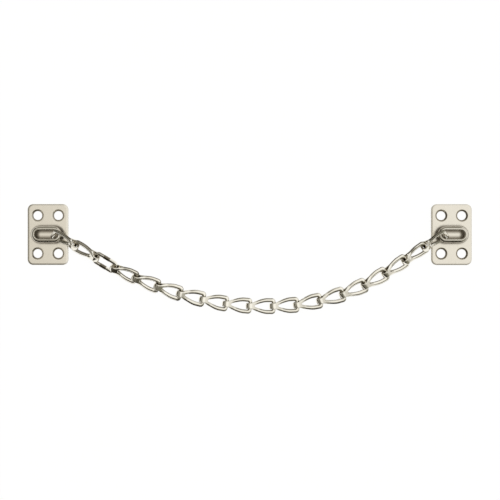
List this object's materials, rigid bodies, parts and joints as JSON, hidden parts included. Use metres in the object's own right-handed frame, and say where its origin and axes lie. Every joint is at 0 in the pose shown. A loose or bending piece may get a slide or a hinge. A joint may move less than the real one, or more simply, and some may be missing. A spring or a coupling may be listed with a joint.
{
  "type": "transom chain",
  "caption": "Chain of folded metal links between two oblong-eyed screw plates, laid flat; limits how far a transom or fanlight opens.",
  "frame": {"origin": "middle of the left plate's back, on the bench that the chain lies on", "axes": "+X from the left plate to the right plate, +Y up the plates' long sides, +Z out of their faces"},
  "size_m": [0.278, 0.0688, 0.0127],
  "materials": {
    "plates": "polished nickel on cast brass",
    "links": "polished nickel on folded brass sheet"
  },
  "bodies": {
    "left_plate": {"left_plate": "plates"},
    "link_01": {"link_01": "links"},
    "link_02": {"link_02": "links"},
    "connecting_link": {"connecting_link": "links"},
    "link_03": {"link_03": "links"},
    "link_04": {"link_04": "links"},
    "link_05": {"link_05": "links"},
    "link_06": {"link_06": "links"},
    "link_07": {"link_07": "links"},
    "link_08": {"link_08": "links"},
    "link_09": {"link_09": "links"},
    "link_10": {"link_10": "links"},
    "link_11": {"link_11": "links"},
    "link_12": {"link_12": "links"},
    "link_13": {"link_13": "links"},
    "link_14": {"link_14": "links"},
    "link_15": {"link_15": "links"},
    "link_16": {"link_16": "links"},
    "link_17": {"link_17": "links"},
    "right_plate": {"right_plate": "plates"}
  },
  "joints": [
    {"name": "left_eye_swing", "type": "hinge", "parent": "left_plate", "child": "link_01", "pos_m": [0.00435, 0, 0.0077], "axis": [0, 0, 1], "range_deg": [-4, 60]},
    {"name": "link_02_swing", "type": "hinge", "parent": "link_01", "child": "link_02", "pos_m": [0.01761, -0.00667, 0.00577], "axis": [-0.4392, -0.6045, -0.6646], "range_deg": [-90, 90]},
    {"name": "connecting_link_swing", "type": "hinge", "parent": "link_02", "child": "connecting_link", "pos_m": [0.0303, -0.014, 0.00405], "axis": [0.4059, 0.6755, 0.6157], "range_deg": [-90, 90]},
    {"name": "link_03_swing", "type": "hinge", "parent": "connecting_link", "child": "link_03", "pos_m": [0.04195, -0.021, 0.00405], "axis": [-0.4059, -0.6755, -0.6157], "range_deg": [-90, 90]},
    {"name": "link_04_swing", "type": "hinge", "parent": "link_03", "child": "link_04", "pos_m": [0.05532, -0.02724, 0.00378], "axis": [0.3671, 0.7645, 0.5298], "range_deg": [-90, 90]},
    {"name": "link_05_swing", "type": "hinge", "parent": "link_04", "child": "link_05", "pos_m": [0.06909, -0.03252, 0.00365], "axis": [-0.3306, -0.8517, -0.4067], "range_deg": [-90, 90]},
    {"name": "link_06_swing", "type": "hinge", "parent": "link_05", "child": "link_06", "pos_m": [0.08312, -0.03708, 0.00347], "axis": [0.3015, 0.9177, 0.2588], "range_deg": [-90, 90]},
    {"name": "link_07_swing", "type": "hinge", "parent": "link_06", "child": "link_07", "pos_m": [0.09743, -0.04065, 0.00327], "axis": [-0.2418, -0.9626, -0.1219], "range_deg": [-90, 90]},
    {"name": "link_08_swing", "type": "hinge", "parent": "link_07", "child": "link_08", "pos_m": [0.11193, -0.04333, 0.00327], "axis": [0.1822, 0.9833, 0], "range_deg": [-90, 90]},
    {"name": "link_09_swing", "type": "hinge", "parent": "link_08", "child": "link_09", "pos_m": [0.12662, -0.04462, 0.00327], "axis": [-0.0872, -0.9962, 0], "range_deg": [-90, 90]},
    {"name": "link_10_swing", "type": "hinge", "parent": "link_09", "child": "link_10", "pos_m": [0.14137, -0.04475, 0.00327], "axis": [0.0087, 1, 0], "range_deg": [-90, 90]},
    {"name": "link_11_swing", "type": "hinge", "parent": "link_10", "child": "link_11", "pos_m": [0.1561, -0.04385, 0.00342], "axis": [0.061, -0.9981, 0], "range_deg": [-90, 90]},
    {"name": "link_12_swing", "type": "hinge", "parent": "link_11", "child": "link_12", "pos_m": [0.1706, -0.04116, 0.00353], "axis": [-0.1822, 0.9794, 0.0872], "range_deg": [-90, 90]},
    {"name": "link_13_swing", "type": "hinge", "parent": "link_12", "child": "link_13", "pos_m": [0.18478, -0.0371, 0.00364], "axis": [0.2734, -0.9491, -0.1564], "range_deg": [-90, 90]},
    {"name": "link_14_swing", "type": "hinge", "parent": "link_13", "child": "link_14", "pos_m": [0.19835, -0.03133, 0.00373], "axis": [-0.3806, 0.8925, 0.2419], "range_deg": [-90, 90]},
    {"name": "link_15_swing", "type": "hinge", "parent": "link_14", "child": "link_15", "pos_m": [0.21119, -0.02407, 0.0038], "axis": [0.4642, -0.8171, -0.342], "range_deg": [-90, 90]},
    {"name": "link_16_swing", "type": "hinge", "parent": "link_15", "child": "link_16", "pos_m": [0.22349, -0.01593, 0.0038], "axis": [-0.4871, 0.7364, 0.4695], "range_deg": [-90, 90]},
    {"name": "link_17_swing", "type": "hinge", "parent": "link_16", "child": "link_17", "pos_m": [0.23549, -0.00753, 0.00555], "axis": [0.5118, -0.6036, -0.6113], "range_deg": [-90, 90]},
    {"name": "right_eye_swing", "type": "hinge", "parent": "link_17", "child": "right_plate", "pos_m": [0.24828, -0.00008, 0.0077], "axis": [0, 0, 1], "range_deg": [-4, 60]}
  ]
}
